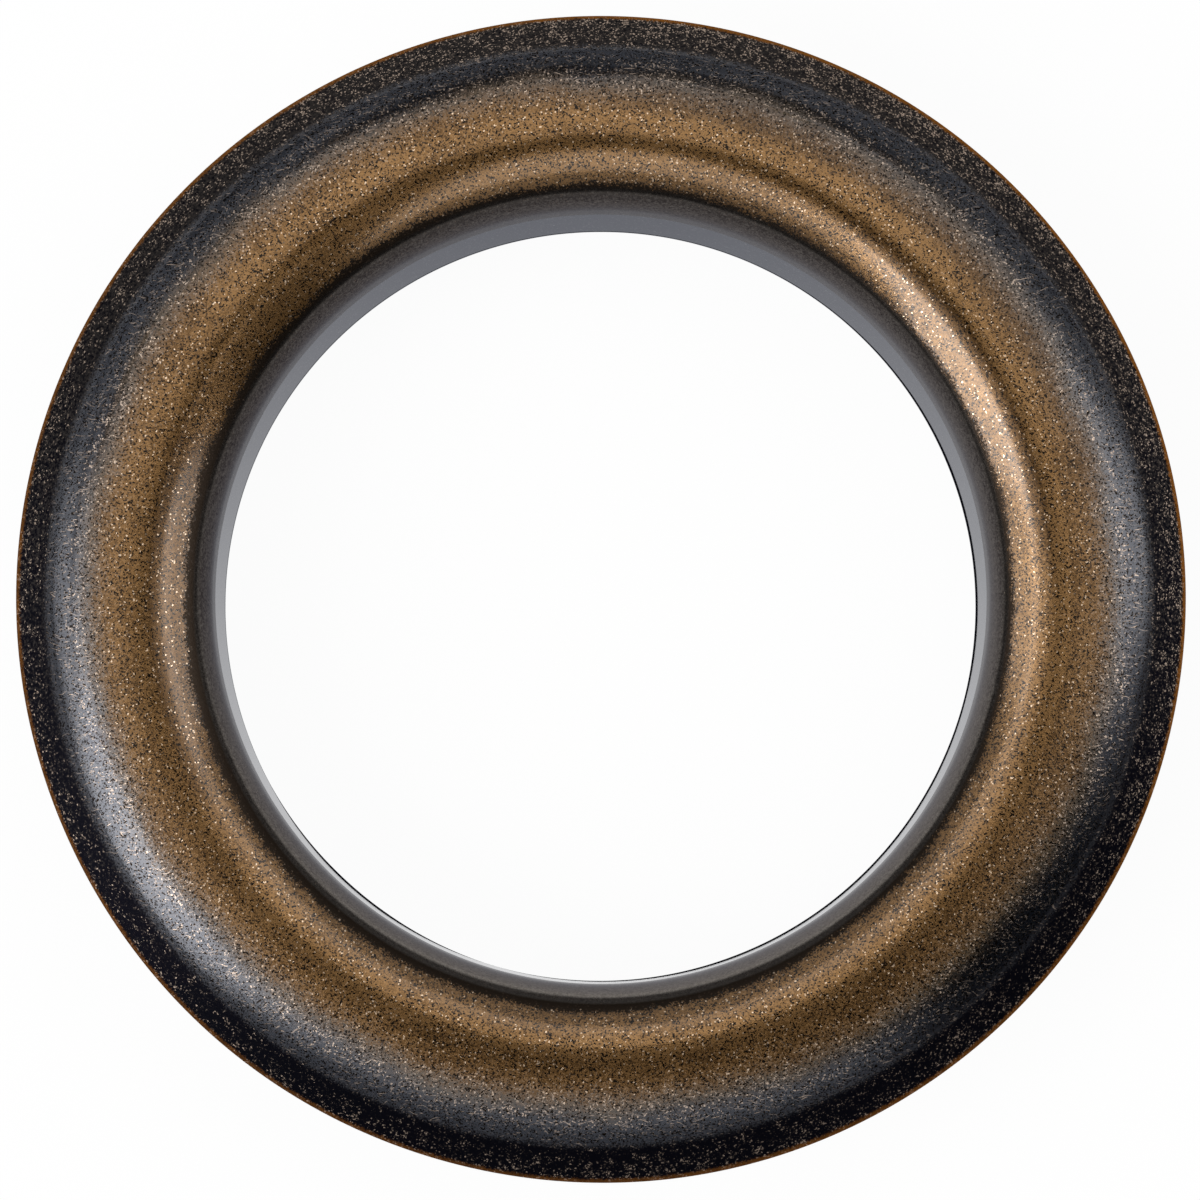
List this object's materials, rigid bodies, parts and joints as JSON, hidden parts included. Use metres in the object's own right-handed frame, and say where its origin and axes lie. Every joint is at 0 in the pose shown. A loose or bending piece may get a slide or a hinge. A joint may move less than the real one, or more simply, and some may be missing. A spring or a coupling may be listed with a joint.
{
  "type": "grommet eyelet",
  "caption": "Round pressed metal eyelet: a wide domed flange with a bevelled rim, rolled over a smooth lip into a short straight barrel that lines a large hole in cloth.",
  "frame": {"origin": "centre of the barrel's cut end, the lowest plane of the part", "axes": "+Z along the hole's axis, from the barrel's end towards the flange's face; the part is round, so X and Y are free"},
  "size_m": [0.06, 0.06, 0.011],
  "materials": {
    "antique_brass": "brushed antique brass: warm brown over the crest, darkened to blue-black on the rim, lip and barrel, with fine grain and bare copper-brown metal along the rim's edge"
  },
  "bodies": {
    "root": {"eyelet": "antique_brass"}
  },
  "joints": []
}
